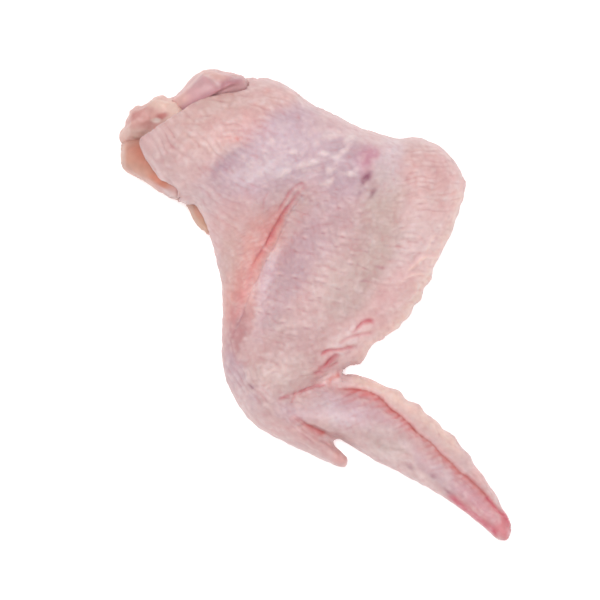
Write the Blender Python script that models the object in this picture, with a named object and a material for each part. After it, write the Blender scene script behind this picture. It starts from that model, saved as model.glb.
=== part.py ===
"""A raw chicken wing in one piece, lying folded in a Z on a table.

The skin-covered wing runs from the cut shoulder along the drumette to the elbow, back along the
forearm to the wrist, and out along the hand to the tip, with the thumb beside it. At the cut
shoulder the skin stops short, and the drumette's meat and the head of its bone look out of it.
X runs to the right and Y away from the viewer, as the wing is seen from above. Z is up.

The wing is soft and lies flat underneath, so its form is a plan and the height of the flesh over
that plan: each limb is a ridge, and the skin falls away in a rounded side at the plan's edge.
"""

import math

import bmesh
import bpy
import numpy as np
from mathutils import kdtree

MM = 0.001

# A limb's stations: place x, y, half widths to its left and right in plan, and its crown's height.
DRUMETTE = (
    (-52.0, 45.5, 9.0, 10.0, 24.0),
    (-41.0, 47.5, 15.0, 15.5, 29.0),
    (-30.0, 49.0, 20.0, 18.5, 31.5),
    (-17.5, 49.5, 21.8, 18.0, 31.5),
    (-6.0, 48.0, 17.8, 16.0, 29.0),
    (4.0, 46.0, 13.6, 14.0, 26.5),
    (14.0, 43.5, 11.2, 12.5, 24.5),
    (20.0, 41.0, 9.0, 9.5, 22.0),
)
HAND = (
    (-17.0, -29.5, 9.0, 6.8, 15.0),
    (-8.0, -34.0, 9.5, 7.0, 15.5),
    (1.0, -35.0, 8.5, 5.9, 15.0),
    (10.5, -34.8, 8.5, 7.8, 14.5),
    (21.0, -40.0, 8.5, 8.6, 13.5),
    (30.5, -45.5, 7.2, 8.1, 12.0),
    (40.0, -52.8, 5.4, 6.2, 10.0),
    (48.0, -60.0, 4.6, 4.6, 8.5),
    (55.0, -67.0, 3.8, 3.5, 7.0),
    (58.8, -71.6, 2.9, 2.6, 6.0),
)
THUMB = (
    (-15.0, -36.0, 4.0, 3.4, 11.5),
    (-9.0, -39.3, 3.2, 3.2, 10.6),
    (-3.5, -41.7, 3.3, 3.7, 9.8),
    (1.8, -44.4, 3.0, 3.3, 8.8),
    (5.6, -46.8, 2.6, 2.8, 7.6),
    (8.6, -48.9, 1.8, 2.2, 6.2),
)

# Ridges inside the plan: place x, y, crown, and how far to each side the ridge reaches.
FOREARM = (
    (17.0, 44.0, 24.0, 26.0),
    (11.0, 28.0, 23.0, 29.0),
    (5.5, 15.5, 21.5, 30.0),
    (-1.0, 1.5, 19.5, 29.0),
    (-8.0, -12.0, 17.5, 27.0),
    (-14.5, -24.0, 16.0, 22.0),
)
BACK_SKIN = (
    (20.0, 49.0, 13.5, 20.0),
    (32.0, 44.0, 14.5, 21.0),
    (34.5, 33.0, 12.0, 22.0),
    (30.0, 20.0, 10.5, 22.0),
    (24.0, 8.0, 10.0, 21.0),
    (16.0, -3.0, 9.5, 19.0),
    (6.0, -14.0, 9.5, 16.0),
)
FRONT_WEB = (
    (-22.0, 30.0, 19.0, 20.0),
    (-20.5, 18.5, 14.5, 20.0),
    (-20.5, 6.0, 12.0, 19.0),
    (-21.0, -7.0, 11.5, 17.0),
    (-21.0, -19.0, 12.5, 15.0),
)
HAND_RIDGE_REACH, THUMB_RIDGE_REACH, DRUMETTE_RIDGE_REACH = 17.0, 10.0, 46.0
SKIN_THICKNESS = 5.0

# The plan outline of the skin between the drumette and the hand: in front, from the drumette down
# to the wrist, and behind, from the notch above the hand up to the elbow's corner and over it.
FRONT_EDGE = (
    (-38.5, 33.0), (-35.8, 28.5), (-32.8, 20.5), (-31.2, 14.0), (-29.6, 6.5), (-29.4, -4.5),
    (-29.6, -15.5), (-28.0, -23.8), (-24.8, -30.0), (-20.4, -36.0), (-16.0, -39.0), (-9.0, -38.0),
)
BACK_EDGE = (
    (1.0, -27.0), (7.0, -20.6), (14.6, -17.0), (18.0, -12.0), (25.8, -7.2), (30.4, -1.0),
    (34.2, 5.0), (37.0, 11.5), (40.2, 18.5), (44.0, 27.5), (46.6, 36.0), (45.4, 42.8),
)
TOP_EDGE = ((43.6, 45.8), (39.0, 50.4), (32.0, 52.9), (24.0, 53.0), (14.0, 55.6), (4.0, 60.0), (-8.0, 58.0))
RIM_SCALLOPS, RIM_SCALLOP_DEPTH = 13, 0.9

# The band of skin behind the hand that held the long feathers: its line, width and scallops.
BAND = (
    (2.5, -25.0, 3.4), (11.5, -26.0, 4.9), (18.0, -27.5, 5.1), (23.0, -31.0, 6.0),
    (28.0, -35.5, 6.7), (32.5, -39.5, 7.0), (36.5, -44.0, 7.4), (41.0, -48.0, 7.3),
    (48.0, -54.5, 5.5), (53.0, -59.0, 3.9), (56.5, -64.0, 3.0), (58.5, -67.5, 2.6),
)
BAND_INNER = 5.0
SCALLOPS, SCALLOP_DEPTH = 10, 1.4

# How the ridges meet, and how the flesh rounds off at the plan's edge, as shares of its height.
RIDGE_BLEND = 4
ROUNDING_SHARE, WIDEST_SHARE = 0.46, 0.4

# Folds pressed into the skin from above: path, depth and half width.
ELBOW_FOLD = (
    (-1.5, 37.0), (-5.6, 33.0), (-8.7, 27.7), (-12.2, 20.9), (-16.5, 12.5), (-20.5, 3.5),
    (-23.6, -5.5), (-27.4, -17.5),
)
SHOULDER_VALLEY = (
    (-1.0, 66.0), (-4.5, 61.5), (-10.0, 57.5), (-17.0, 51.5), (-23.5, 45.5), (-28.5, 40.5),
    (-30.5, 33.0),
)
WRIST_FOLDS = (
    ((18.0, -11.5), (12.0, -13.5), (6.5, -17.5), (1.0, -20.5)),
    ((15.0, -17.0), (9.0, -18.8), (3.0, -21.8), (-3.0, -25.5)),
    ((7.0, -23.5), (0.0, -25.2), (-6.0, -28.0), (-9.5, -30.5)),
)
BAND_FOLD = ((3.0, -26.0), (12.0, -27.0), (24.0, -33.5), (33.0, -41.5), (42.0, -50.0), (54.0, -62.0))
THUMB_GAP = ((-7.5, -36.2), (-2.0, -38.0), (3.0, -40.8), (8.5, -44.0))
PRESSED = (
    (ELBOW_FOLD, 2.4, 1.8),
    (SHOULDER_VALLEY, 1.6, 4.0),
    (WRIST_FOLDS[0], 1.5, 1.2),
    (WRIST_FOLDS[1], 2.4, 1.4),
    (WRIST_FOLDS[2], 2.0, 1.4),
    (BAND_FOLD, 1.6, 1.2),
    (THUMB_GAP, 4.5, 1.4),
)
# Joints and swellings that push the skin up: place x, y, radius and height.
SWELLINGS = (
    (6.5, 45.5, 7.0, 1.8),
    (15.0, 41.0, 5.0, 1.4),
    (-19.5, -26.5, 7.0, 1.4),
    (39.0, 41.0, 8.0, 2.0),
    (-16.0, 60.0, 9.0, 1.5),
)

# The meat is the drumette's stations less the skin, with the bared lobes at the cut end.
# Its bodies' stations: place x, y, half widths to left and right, floor and crown.
SKIN_ON_MEAT = 2.6
MEAT_STATIONS = 6
UPPER_MUSCLE = (
    (-44.0, 60.0, 4.0, 4.5, 5.0, 18.0),
    (-38.5, 63.5, 6.4, 6.0, 2.5, 22.0),
    (-32.5, 67.0, 7.6, 7.5, 2.0, 23.5),
    (-27.0, 68.0, 5.0, 7.0, 3.0, 22.5),
    (-20.0, 63.0, 2.5, 5.0, 8.0, 18.0),
)
LOWER_FILLET = (
    (-58.4, 46.8, 6.2, 4.6, 0.6, 15.5),
    (-53.0, 44.8, 8.0, 5.6, 0.2, 18.0),
    (-46.0, 42.0, 9.0, 8.8, 0.2, 20.0),
    (-40.0, 43.5, 6.0, 6.5, 3.0, 20.0),
)
UNDER_FLAP = (
    (-35.5, 38.0, 5.0, 4.0, 3.0, 9.0),
    (-34.9, 30.6, 3.2, 6.2, 0.8, 8.0),
    (-33.0, 25.6, 2.2, 5.6, 0.6, 6.6),
)

# The bone: its head is a few rounded lumps of cartilage, and its shaft runs on to the elbow.
BONE_LUMPS = (
    (-54.2, 57.4, 11.5, 6.2), (-48.6, 61.2, 14.0, 5.3), (-43.4, 58.4, 15.5, 4.8),
    (-57.8, 53.0, 9.5, 3.4), (-50.0, 55.0, 9.5, 5.2),
)
BONE_SHAFT = (
    (-50.0, 57.0, 4.2, 4.2, 8.0, 17.0),
    (-42.0, 54.0, 3.4, 3.4, 10.5, 18.0),
    (-28.0, 50.5, 2.9, 2.9, 13.0, 19.0),
    (-10.0, 48.5, 2.9, 2.9, 13.0, 19.0),
    (-2.0, 47.4, 3.6, 3.6, 11.5, 19.0),
)

# Where the skin was cut: it lies to the right of this line, and the shoulder was to the left.
SKIN_EDGE = (
    (-14.0, 76.0), (-24.0, 69.3), (-32.0, 63.9), (-40.8, 58.2), (-46.5, 53.0), (-51.0, 48.8),
    (-53.0, 46.4), (-51.3, 43.6), (-48.6, 39.6), (-47.2, 36.0), (-47.0, 32.0), (-48.0, 26.0),
)
SHOULDER_SIDE = ((-78.0, 26.0), (-78.0, 90.0), (-14.0, 90.0))

RING_POINTS = 28
STEPS_BETWEEN = 5
CAP_ANGLES = (30, 55, 75)
CAP_LENGTH = 0.75
FULLNESS = 0.86
SLAB_HALF = 2.0

WING_VOXEL, MEAT_VOXEL, BONE_VOXEL = 0.85, 0.8, 0.7
WING_TRIANGLES, MEAT_TRIANGLES, BONE_TRIANGLES = 8400, 2000, 800
WING_SMOOTHING, MEAT_SMOOTHING, BONE_SMOOTHING = 6, 5, 3
CLEARANCE = 0.35


def clear_scene():
    for obj in list(bpy.data.objects):
        bpy.data.objects.remove(obj, do_unlink=True)


def material(name, colour, roughness):
    made = bpy.data.materials.new(name)
    made.use_nodes = True
    shader = made.node_tree.nodes["Principled BSDF"]
    shader.inputs["Base Color"].default_value = (*colour, 1.0)
    shader.inputs["Roughness"].default_value = roughness
    shader.inputs["Metallic"].default_value = 0.0
    return made


def linked(name, mesh):
    obj = bpy.data.objects.new(name, mesh)
    bpy.context.scene.collection.objects.link(obj)
    return obj


def smooth_rows(rows):
    """Rows of numbers with a Catmull-Rom curve drawn through each column."""
    rows = np.array(rows, float)
    padded = np.vstack([2 * rows[0] - rows[1], rows, 2 * rows[-1] - rows[-2]])
    made = []
    for a, b, c, d in zip(padded, padded[1:], padded[2:], padded[3:]):
        for t in np.arange(STEPS_BETWEEN) / STEPS_BETWEEN:
            bend = (2 * a - 5 * b + 4 * c - d) * t**2 + (3 * b - a - 3 * c + d) * t**3
            made.append(0.5 * (2 * b + (c - a) * t + bend))
    return np.array([*made, rows[-1]])


def directions_of(line):
    way = np.gradient(line, axis=0)
    return way / np.linalg.norm(way, axis=1, keepdims=True)


def leftward_of(ways):
    return np.column_stack([-ways[:, 1], ways[:, 0]])


def mesh_of(points, faces):
    mesh = bpy.data.meshes.new("form")
    mesh.from_pydata([tuple(point * MM) for point in points], [], faces)
    form = bmesh.new()
    form.from_mesh(mesh)
    bmesh.ops.recalc_face_normals(form, faces=form.faces)
    form.to_mesh(mesh)
    form.free()
    return mesh


def section(place, way, row, scale=1.0):
    """One rounded cross-section of a limb, as a ring of points seen along the limb."""
    left, right, floor, crown = row[2:]
    angles = np.arange(RING_POINTS) * 2 * math.pi / RING_POINTS
    across, up = np.cos(angles), np.sin(angles)
    across = np.sign(across) * np.abs(across) ** FULLNESS
    up = np.sign(up) * np.abs(up) ** FULLNESS
    middle = floor + WIDEST_SHARE * (crown - floor)
    offset = across * np.where(across > 0, left, right) * scale
    height = middle + up * np.where(up > 0, crown - middle, middle - floor) * scale
    plan = place + offset[:, None] * np.array([-way[1], way[0]])
    return np.column_stack([plan, height])


def capped_end(row, way, outward):
    """Rings that close a limb's end with a rounded cap, and the point at its pole."""
    left, right, floor, crown = row[2:]
    reach = CAP_LENGTH * (left + right) / 2
    rings = []
    for angle in np.radians(CAP_ANGLES):
        place = row[:2] + way * outward * reach * math.sin(angle)
        rings.append(section(place, way, row, math.cos(angle)))
    middle = floor + WIDEST_SHARE * (crown - floor)
    return rings, np.append(row[:2] + way * outward * reach, middle)


def limb(stations):
    """A closed body lofted through its stations, rounded at both ends."""
    rows = smooth_rows(stations)
    ways = directions_of(rows[:, :2])
    rings = [section(row[:2], way, row) for row, way in zip(rows, ways)]
    first_cap, first_pole = capped_end(rows[0], ways[0], -1)
    last_cap, last_pole = capped_end(rows[-1], ways[-1], 1)
    rings = [*reversed(first_cap), *rings, *last_cap]
    points = [first_pole, *np.concatenate(rings), last_pole]
    faces = []
    for k in range(RING_POINTS):
        n = (k + 1) % RING_POINTS
        for r in range(len(rings) - 1):
            low = 1 + r * RING_POINTS
            high = low + RING_POINTS
            faces.append((low + k, low + n, high + n, high + k))
        top = 1 + (len(rings) - 1) * RING_POINTS
        faces.append((0, 1 + n, 1 + k))
        faces.append((len(points) - 1, top + k, top + n))
    return mesh_of(points, faces)


def slab(outline, low, high):
    """A flat body of even thickness over a plan outline."""
    count = len(outline)
    points = [np.append(point, z) for z in (low, high) for point in outline]
    faces = [tuple(range(count)), tuple(range(count, 2 * count))]
    faces += [(k, (k + 1) % count, (k + 1) % count + count, k + count) for k in range(count)]
    return mesh_of(points, faces)


def limb_outline(stations):
    """The plan outline of a limb, with a round end at each station where it starts and stops."""
    rows = smooth_rows(stations)
    ways = directions_of(rows[:, :2])
    leftward = leftward_of(ways)
    left = rows[:, :2] + leftward * rows[:, 2:3]
    right = rows[:, :2] - leftward * rows[:, 3:4]
    ends = []
    for row, way, side, outward in ((rows[-1], ways[-1], 1, 1), (rows[0], ways[0], -1, -1)):
        across = leftward_of(way[None])[0] * side
        for angle in np.radians((72, 54, 36, 18, 0, -18, -36, -54, -72)):
            half = row[2] if angle * side > 0 else row[3]
            reach = CAP_LENGTH * (row[2] + row[3]) / 2 * math.cos(angle)
            ends.append(row[:2] + way * outward * reach + across * half * math.sin(angle))
    last_end, first_end = ends[:9], ends[9:]
    return np.vstack([left, last_end, right[::-1], first_end])


def scallops(count, depth, points):
    """How far an edge draws in between feather roots, at so many points along it."""
    return depth * (1 - np.abs(np.sin(np.linspace(0, 1, points) * count * math.pi)) ** 0.7)


def band_outline():
    """The band behind the hand, with its scalloped outer edge."""
    rows = smooth_rows(BAND)
    outward = leftward_of(directions_of(rows[:, :2]))
    reach = rows[:, 2] - scallops(SCALLOPS, SCALLOP_DEPTH, len(rows))
    outer = rows[:, :2] + outward * reach[:, None]
    inner = rows[:, :2] - outward * np.minimum(BAND_INNER, rows[:, 2])[:, None]
    return np.vstack([outer, inner[::-1]])


def skin_outline():
    """The skin around the forearm, with its scalloped back edge."""
    back = smooth_rows(BACK_EDGE)
    inward = leftward_of(directions_of(back))
    back = back + inward * scallops(RIM_SCALLOPS, RIM_SCALLOP_DEPTH, len(back))[:, None]
    return np.vstack([smooth_rows(FRONT_EDGE), back, smooth_rows(TOP_EDGE)])


def lump(x, y, z, radius):
    form = bmesh.new()
    bmesh.ops.create_icosphere(form, subdivisions=3, radius=radius * MM)
    bmesh.ops.translate(form, verts=form.verts, vec=(x * MM, y * MM, z * MM))
    mesh = bpy.data.meshes.new("form")
    form.to_mesh(mesh)
    form.free()
    return mesh


def as_evaluated(obj):
    graph = bpy.context.evaluated_depsgraph_get()
    mesh = bpy.data.meshes.new_from_object(obj.evaluated_get(graph))
    bpy.data.objects.remove(obj)
    return mesh


def grown_together(meshes, voxel, smoothing):
    """One closed skin over all the overlapping bodies, relaxed so that their joins run smoothly."""
    form = bmesh.new()
    for mesh in meshes:
        form.from_mesh(mesh)
    joined = bpy.data.meshes.new("joined")
    form.to_mesh(joined)
    form.free()
    obj = linked("joined", joined)
    remesh = obj.modifiers.new("One skin", "REMESH")
    remesh.mode = "VOXEL"
    remesh.voxel_size = voxel * MM
    relax = obj.modifiers.new("Relax", "SMOOTH")
    relax.factor = 0.5
    relax.iterations = smoothing
    return as_evaluated(obj)


def places_of(mesh):
    flat = np.empty(len(mesh.vertices) * 3, np.float32)
    mesh.vertices.foreach_get("co", flat)
    return flat.reshape(-1, 3).astype(float) / MM


def normals_of(mesh):
    flat = np.empty(len(mesh.vertices) * 3, np.float32)
    mesh.vertex_normals.foreach_get("vector", flat)
    return flat.reshape(-1, 3)


def moved_to(mesh, places):
    mesh.vertices.foreach_set("co", (places * MM).astype(np.float32).ravel())
    mesh.update()


def nearest_on(path, plan):
    """Each point's distance to a path, and the path's own values there, read between its rows."""
    nearest = np.full(len(plan), 1e9)
    values = np.zeros((len(plan), path.shape[1]))
    for start, end in zip(path, path[1:]):
        step = end[:2] - start[:2]
        t = np.clip((plan - start[:2]) @ step / (step @ step), 0, 1)[:, None]
        distance = np.linalg.norm(plan - start[:2] - t * step, axis=1)
        closer = distance < nearest
        nearest[closer] = distance[closer]
        values[closer] = (start + t * (end - start))[closer]
    return nearest, values


def ridge(stations, plan):
    """The height of a rounded ridge over the plan, from stations of x, y, crown and reach."""
    distance, values = nearest_on(smooth_rows(stations), plan)
    share = np.clip(distance / values[:, 3], 0, 1)
    return values[:, 2] * np.cos(share * math.pi / 2) ** 2


def limb_ridge(stations, reach):
    return [(row[0], row[1], row[4], reach) for row in stations]


def pressed_depth(plan):
    """How far the folds press the skin in. Each runs out to nothing at both ends."""
    depth_in_all = np.zeros(len(plan))
    for path, depth, half_width in PRESSED:
        line = smooth_rows(path)
        along = np.linspace(0, 1, len(line))
        distance, values = nearest_on(np.column_stack([line, along]), plan)
        ends = np.clip(5 * np.minimum(values[:, 2], 1 - values[:, 2]), 0, 1)
        depth_in_all += depth * ends * np.exp(-((distance / half_width) ** 2))
    return depth_in_all


def flesh_height(plan):
    """The height of the skin over the plan, away from the plan's edge."""
    ridges = (
        limb_ridge(DRUMETTE, DRUMETTE_RIDGE_REACH),
        limb_ridge(HAND, HAND_RIDGE_REACH),
        limb_ridge(THUMB, THUMB_RIDGE_REACH),
        FOREARM,
        BACK_SKIN,
        FRONT_WEB,
    )
    powers = SKIN_THICKNESS**RIDGE_BLEND
    for stations in ridges:
        powers = powers + ridge(stations, plan) ** RIDGE_BLEND
    height = powers ** (1 / RIDGE_BLEND)
    for x, y, radius, rise in SWELLINGS:
        distance = np.linalg.norm(plan - np.array([x, y]), axis=1)
        height += rise * np.exp(-((distance / radius) ** 2))
    return height


def distance_from_edge(places, normals):
    """How far each point of the flat plan body lies from its upright sides."""
    on_edge = places[np.abs(normals[:, 2]) < 0.5]
    tree = kdtree.KDTree(len(on_edge))
    for index, (x, y, _) in enumerate(on_edge):
        tree.insert((x, y, 0), index)
    tree.balance()
    return np.array([tree.find((x, y, 0))[2] for x, y, _ in places])


def plan_body(outlines, voxel):
    slabs = [slab(outline, -SLAB_HALF, SLAB_HALF) for outline in outlines]
    return grown_together(slabs, voxel, 2)


def swollen(mesh, cover):
    """Raises a flat plan body to the height of the flesh less its cover, rounded off at its sides."""
    places = places_of(mesh)
    plan = places[:, :2]
    inside = distance_from_edge(places, normals_of(mesh))
    height = flesh_height(plan)
    widest = WIDEST_SHARE * height
    share = np.clip(inside / (ROUNDING_SHARE * height), 0, 1)
    roundness = np.sqrt(1 - (1 - share) ** 2)
    top = widest + (height - cover - widest - pressed_depth(plan)) * roundness
    bottom = widest - (widest - cover) * roundness
    places[:, 2] = np.where(places[:, 2] > 0, top, bottom)
    moved_to(mesh, places)
    return mesh


def thinned(mesh, triangles):
    """The mesh with about so many triangles, fewest where it is smooth."""
    obj = linked("thinned", mesh)
    fewer = obj.modifiers.new("Fewer faces", "DECIMATE")
    fewer.ratio = triangles / (2 * len(mesh.polygons))
    fewer.use_collapse_triangulate = True
    return as_evaluated(obj)


def stood_on_table(mesh, cut_height):
    """Cuts the mesh off level and closes it, so that it rests on flat feet, then sets it at zero."""
    form = bmesh.new()
    form.from_mesh(mesh)
    level = cut_height * MM
    everything = [*form.verts, *form.edges, *form.faces]
    bmesh.ops.bisect_plane(
        form, geom=everything, dist=1e-7, plane_co=(0, 0, level), plane_no=(0, 0, 1), clear_inner=True
    )
    open_edges = [edge for edge in form.edges if edge.is_boundary]
    bmesh.ops.holes_fill(form, edges=open_edges, sides=0)
    bmesh.ops.triangulate(form, faces=form.faces)
    bmesh.ops.recalc_face_normals(form, faces=form.faces)
    bmesh.ops.translate(form, verts=form.verts, vec=(0, 0, -level))
    form.to_mesh(mesh)
    form.free()
    return mesh


def cutter(name, mesh):
    obj = linked(name, mesh)
    obj.hide_render = True
    obj.display_type = "WIRE"
    return obj


def cut_away(obj, other):
    cut = obj.modifiers.new("Less " + other.name, "BOOLEAN")
    cut.operation = "DIFFERENCE"
    cut.solver = "EXACT"
    cut.object = other


def with_clearance(name, mesh):
    """A cutter that stands proud of the mesh by the clearance all over."""
    grown = mesh.copy()
    moved_to(grown, places_of(mesh) + normals_of(mesh) * CLEARANCE)
    return cutter(name, grown)


def bone_mesh():
    lumps = [lump(*row) for row in BONE_LUMPS]
    mesh = grown_together([*lumps, limb(BONE_SHAFT)], BONE_VOXEL, BONE_SMOOTHING)
    return thinned(mesh, BONE_TRIANGLES)


def meat_core():
    """The drumette's own form, drawn in on every side by the skin's thickness."""
    rows = [
        (x, y, left - SKIN_ON_MEAT, right - SKIN_ON_MEAT) for x, y, left, right, _ in DRUMETTE[:MEAT_STATIONS]
    ]
    return swollen(plan_body([limb_outline(rows)], MEAT_VOXEL), SKIN_ON_MEAT)


def meat_mesh():
    bodies = [meat_core(), limb(UPPER_MUSCLE), limb(LOWER_FILLET), limb(UNDER_FLAP)]
    mesh = grown_together(bodies, MEAT_VOXEL, MEAT_SMOOTHING)
    return stood_on_table(thinned(mesh, MEAT_TRIANGLES), 0.0)


def wing_mesh():
    outlines = [limb_outline(rows) for rows in (DRUMETTE, HAND, THUMB)]
    flat = plan_body([*outlines, skin_outline(), band_outline()], WING_VOXEL)
    mesh = grown_together([swollen(flat, 0.0)], WING_VOXEL, WING_SMOOTHING)
    return stood_on_table(thinned(mesh, WING_TRIANGLES), 0.05)


def shoulder_cutter():
    """Everything on the shoulder's side of the skin's cut edge, from below the table to above."""
    outline = np.vstack([smooth_rows(SKIN_EDGE), SHOULDER_SIDE])
    return cutter("beyond_skin_edge", slab(outline, -10.0, 50.0))


def finished(obj, made_of):
    obj.data.materials.clear()
    obj.data.materials.append(made_of)
    obj.data.shade_smooth()


def centre_on_origin(objects):
    """Moves everything so that the whole stands on the origin, in the middle of its own box."""
    bpy.context.view_layer.update()
    graph = bpy.context.evaluated_depsgraph_get()
    corners = []
    for obj in objects:
        if not obj.hide_render:
            seen = obj.evaluated_get(graph)
            corners += [seen.matrix_world @ vertex.co for vertex in seen.data.vertices]
    corners = np.array(corners)
    low, high = corners.min(axis=0), corners.max(axis=0)
    shift = (-(low[0] + high[0]) / 2, -(low[1] + high[1]) / 2, -low[2])
    for obj in objects:
        obj.location = shift
    return shift


def build():
    clear_scene()
    bone_form, meat_form = bone_mesh(), meat_mesh()
    bone_space = with_clearance("room_for_bone", bone_form)
    meat_space = with_clearance("room_for_meat", meat_form)
    beyond_edge = shoulder_cutter()

    humerus = linked("humerus", bone_form)
    meat = linked("drumette_meat", meat_form)
    wing = linked("wing_skin", wing_mesh())
    cut_away(meat, bone_space)
    for space in (beyond_edge, meat_space, bone_space):
        cut_away(wing, space)

    finished(wing, material("raw_skin", (0.72, 0.46, 0.42), 0.45))
    finished(meat, material("raw_meat", (0.62, 0.26, 0.21), 0.35))
    finished(humerus, material("cartilage", (0.74, 0.52, 0.44), 0.35))
    shift = centre_on_origin(list(bpy.data.objects))
    print("moved by", [round(value / MM, 3) for value in shift], "mm")


build()
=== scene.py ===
"""A raw chicken wing, folded in a Z on a white table and seen from straight above.

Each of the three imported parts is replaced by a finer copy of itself. Folds, wrinkles and feather
follicles are moved into its surface, and its colours are painted by place. Places are millimetres
in the row frame, so X runs to the right and Y up the picture.
"""

import math

import bpy
import numpy as np
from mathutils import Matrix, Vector
from mathutils.bvhtree import BVHTree


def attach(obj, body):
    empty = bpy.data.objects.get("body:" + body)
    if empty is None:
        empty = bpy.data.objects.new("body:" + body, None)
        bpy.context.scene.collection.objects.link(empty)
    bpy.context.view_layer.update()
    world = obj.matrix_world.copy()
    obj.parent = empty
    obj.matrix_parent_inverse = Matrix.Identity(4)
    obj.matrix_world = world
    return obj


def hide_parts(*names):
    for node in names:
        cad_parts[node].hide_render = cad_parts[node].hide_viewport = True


MM = 0.001
# The camera's height, the width and centre of what it sees at the height of the wing's middle, and
# the width of its sensor.
CAMERA_HEIGHT, MIDDLE_HEIGHT, PHOTO_WIDTH, SENSOR = 1500.0, 12.0, 186.0, 36.0
PHOTO_CENTRE = (-4.5, 1.3)
# The table lies a little below the wing and glows.
TABLE_GAP, TABLE_GLOW = 0.05, 0.4
# Skin that faces down, or faces meat this near, is out of sight and keeps this share of its triangles.
FACING_DOWN, MEAT_GAP, HIDDEN_SHARE = -0.5, 0.6, 0.15
# How far the skin swells, and the bared meat and bone in X, Y and Z. Meat and bone shrink below the skin.
SKIN_SWELL, MEAT_SHRINK = 0.15, 0.9
BARED_SWELL = (0.35, 0.35, 0.25)
# A rim is fitted to its outline over a depth: how far points are looked for and moved at most, as shares
# of it, how far outside the line the rim ends, and the step along it.
RIM_REACH, RIM_SHIFT, RIM_MARGIN, RIM_CELL = 1.6, 0.7, 0.2, 0.8
RIM_DEPTH, CORNER_DEPTH, EDGE_DEPTH = 2.5, 3.0, 6.0
# How far from the skin's cut edge the meat is measured, and the distances under the skin at which it
# starts to sink and over which it sinks.
EDGE_REACH, SINK_START, SINK_RANGE = 15.0, 2, 4
# The share of that edge beside the upper muscle, where its top sinks at once, and how much deeper.
UPPER_SHARE, MUSCLE_SINK = 0.4, 1.6
# The upward part of a normal at which a surface starts to count as facing up, and the range over which
# it comes to count in full.
UPRIGHT, UP_RANGE = 0.05, 0.5
# How far relief and paint wander sideways on the skin's walls, how much less on top, and the share of
# their paint that the walls keep.
WALL_WANDER, WANDER_LESS, WALL_PAINT = 2.2, 1.75, 0.2

# Lumps: height, size and seed.
SKIN_LUMPS = ((0.10, 2.6, 31), (0.07, 1.3, 32))
WALL_LUMPS = ((0.2, 1.6, 36),)
MEAT_LUMPS = ((0.12, 3.0, 33), (0.35, 6.5, 37))
BONE_LUMPS = ((0.55, 3.6, 38), (0.4, 2.2, 34), (0.10, 1.1, 35))
# Muscle fibres: their direction, how much longer than wide they are, size, height, strength in the
# colour, and how light the muscle's walls are.
FIBRE_TURN, FIBRE_STRETCH, FIBRE_SIZE = 30, 6, 1.1
FIBRE_HEIGHT, FIBRE_TINT, WALL_LIGHT = 0.08, 0.07, 0.5
# Unevenness of the colours: size, share of its depth and seed, the share of redness in it, and what
# redness does to red, green and blue.
MOTTLES = ((9.0, 1.0, 21), (3.0, 0.8, 22), (1.2, 0.5, 23))
REDNESS, REDNESS_TURN = 0.6, (0.4, -0.6, -0.5)
SKIN_MOTTLE, MEAT_MOTTLE, BONE_MOTTLE = 0.045, 0.06, 0.05
# Wet flesh: its gloss, how deep light goes into it, and the size of its fine mottle.
ROUGHNESS, COAT, COAT_ROUGHNESS = 0.45, 0.15, 0.3
SUBSURFACE_DEPTH, MOTTLE_SIZE = 1.2, 1.6
# A soft oval is full out to its core and then fades, as shares of its size, and its edge is ragged.
PATCH_CORE, PATCH_FADE, PATCH_RAGGED = 0.45, 0.95, 1.6
# Painted shade and highlight from the relief: how strongly, the depth that is fully painted pink shade,
# how sharply that shade sets in, and the height that is fully painted pale highlight.
SHADE, PINK_DEPTH, PINK_POWER, PALE_HEIGHT = 0.6, 0.22, 1.2, 0.25

# Colours as they look in the photo's light, in sRGB from 0 to 255.
TINTS = {
    "skin": (218, 183, 182),
    "peach": (220, 181, 173),
    "warm_pink": (224, 176, 174),
    "lavender": (207, 177, 188),
    "pale_lavender": (226, 206, 214),
    "blue_mauve": (188, 156, 174),
    "beige": (208, 184, 176),
    "back_pink": (229, 186, 183),
    "web_orange": (226, 168, 160),
    "web_glow": (228, 150, 148),
    "deep_web": (198, 148, 150),
    "cream": (242, 210, 198),
    "pale": (240, 216, 214),
    "white_highlight": (240, 226, 232),
    "crease_pink": (208, 144, 147),
    "crease_red": (222, 126, 118),
    "streak_pink": (212, 124, 127),
    "fold_red": (218, 112, 100),
    "fold_deep": (186, 84, 82),
    "fold_pink": (208, 110, 119),
    "fold_purple": (170, 122, 136),
    "bruise": (134, 50, 86),
    "dash": (190, 134, 142),
    "blush": (210, 148, 166),
    "gap_red": (204, 84, 80),
    "tip_red": (218, 122, 132),
    "tip_magenta": (210, 84, 108),
    "mauve_grey": (196, 168, 180),
    "skin_shade": (200, 166, 166),
    "wrist_mauve": (198, 164, 176),
    "muscle": (210, 162, 164),
    "muscle_light": (228, 182, 174),
    "muscle_lilac": (206, 158, 164),
    "muscle_dark": (180, 118, 130),
    "fillet": (214, 160, 142),
    "fillet_grey": (204, 158, 144),
    "fillet_deep": (206, 126, 104),
    "fillet_edge": (232, 192, 176),
    "flap": (206, 160, 138),
    "flap_deep": (196, 140, 124),
    "knob": (228, 190, 180),
    "knob_pink": (212, 156, 150),
    "knob_red": (204, 124, 122),
    "knob_deep": (202, 138, 134),
    "knob_cream": (230, 196, 184),
    "white_gristle": (240, 220, 212),
}
LIGHT_GAIN = 1.07

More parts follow.
